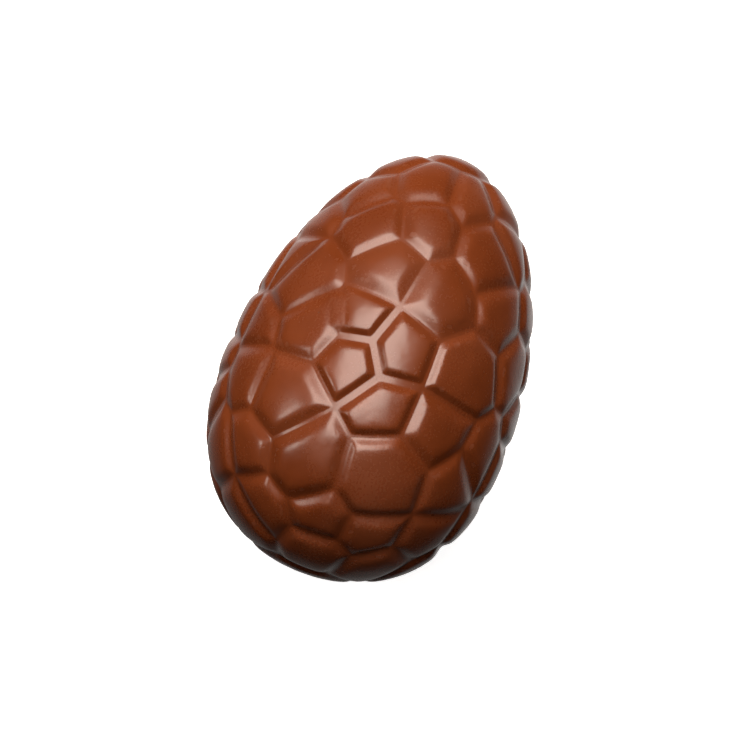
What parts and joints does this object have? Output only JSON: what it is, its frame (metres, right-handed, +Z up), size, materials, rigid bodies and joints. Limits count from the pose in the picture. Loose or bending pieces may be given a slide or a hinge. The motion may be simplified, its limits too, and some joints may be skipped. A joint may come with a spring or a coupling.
{
  "type": "chocolate egg",
  "caption": "Milk chocolate egg moulded in a crazy-paving pattern of domed slabs parted by grooves, lying on its side with its narrow end to +X.",
  "frame": {"origin": "centre of the bounding box's underside, on the surface that the egg lies on", "axes": "+X along the length of the egg towards its narrow end, which lies about 5 degrees lower than the blunt end; +Z up, out of the middle of the shown half shell; +Y to the side"},
  "size_m": [0.1204, 0.0816, 0.0818],
  "materials": {
    "milk_chocolate": "glossy tempered milk chocolate, reddish brown, with soft broad highlights and fine scratches"
  },
  "bodies": {
    "root": {"egg": "milk_chocolate"}
  },
  "joints": []
}
